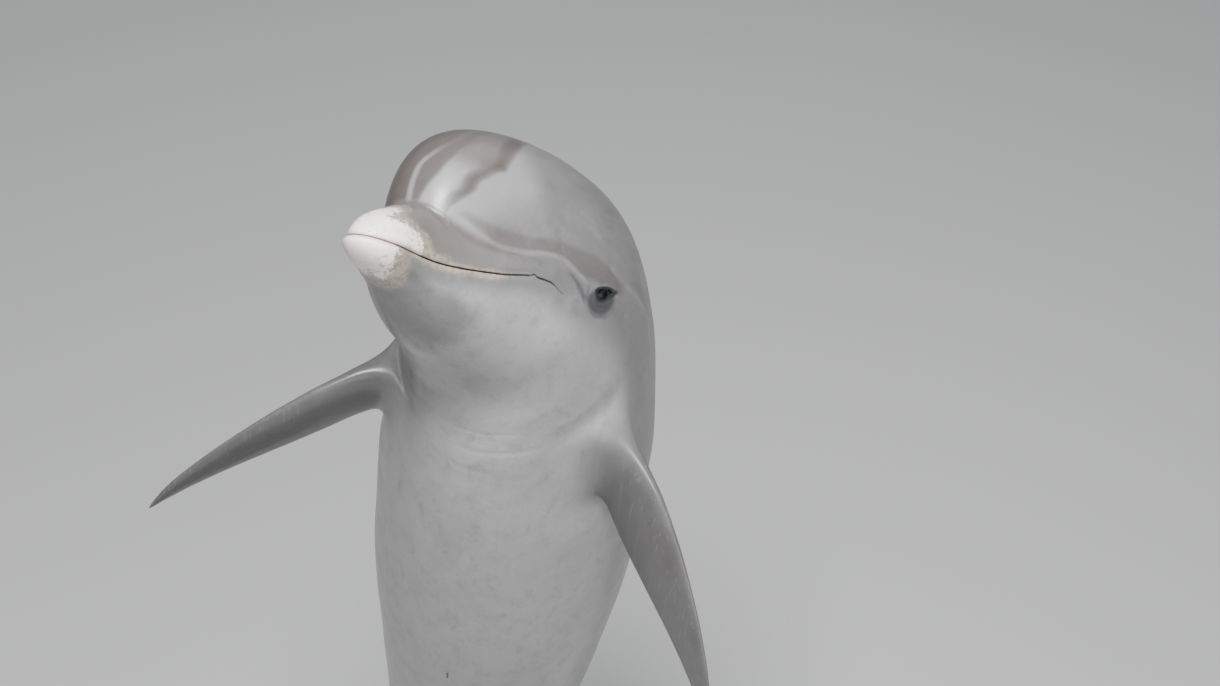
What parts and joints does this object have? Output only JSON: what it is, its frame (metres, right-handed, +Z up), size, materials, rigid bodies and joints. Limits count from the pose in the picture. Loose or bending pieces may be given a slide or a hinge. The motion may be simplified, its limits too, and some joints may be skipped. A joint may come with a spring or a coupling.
{
  "type": "bottlenose dolphin model",
  "caption": "Life-size still model of a bottlenose dolphin, body upright and head bowed forward, held by two steel rods on a round base.",
  "frame": {"origin": "centre of the underside of the round base, on the floor", "axes": "+Z up along the almost upright body, from the tail at the base to the beak at the top; the belly and the bowed head face about -Y, the dorsal fin about +Y, and the animal's left side is about +X"},
  "size_m": [1.0332, 1.0076, 2.461],
  "materials": {
    "skin_head": "satin grey skin, pale pinkish beak tip",
    "skin_jaw": "satin pale grey skin",
    "skin_trunk": "satin grey skin, dark back and pale belly",
    "skin_fins": "satin dark grey skin",
    "eye": "wet gloss, near black brown",
    "stand_base": "painted charcoal, satin",
    "stand_steel": "brushed"
  },
  "bodies": {
    "root": {"head": "skin_head", "lower_jaw": "skin_jaw", "trunk": "skin_trunk", "tail_stock": "skin_trunk", "dorsal_fin": "skin_fins", "flipper_left": "skin_fins", "flipper_right": "skin_fins", "fluke_left": "skin_fins", "fluke_right": "skin_fins", "eye_left": "eye", "eye_right": "eye", "stand_base": "stand_base", "stand_collar_back": "stand_steel", "stand_collar_front": "stand_steel", "stand_rod_back": "stand_steel", "stand_rod_front": "stand_steel"}
  },
  "joints": []
}
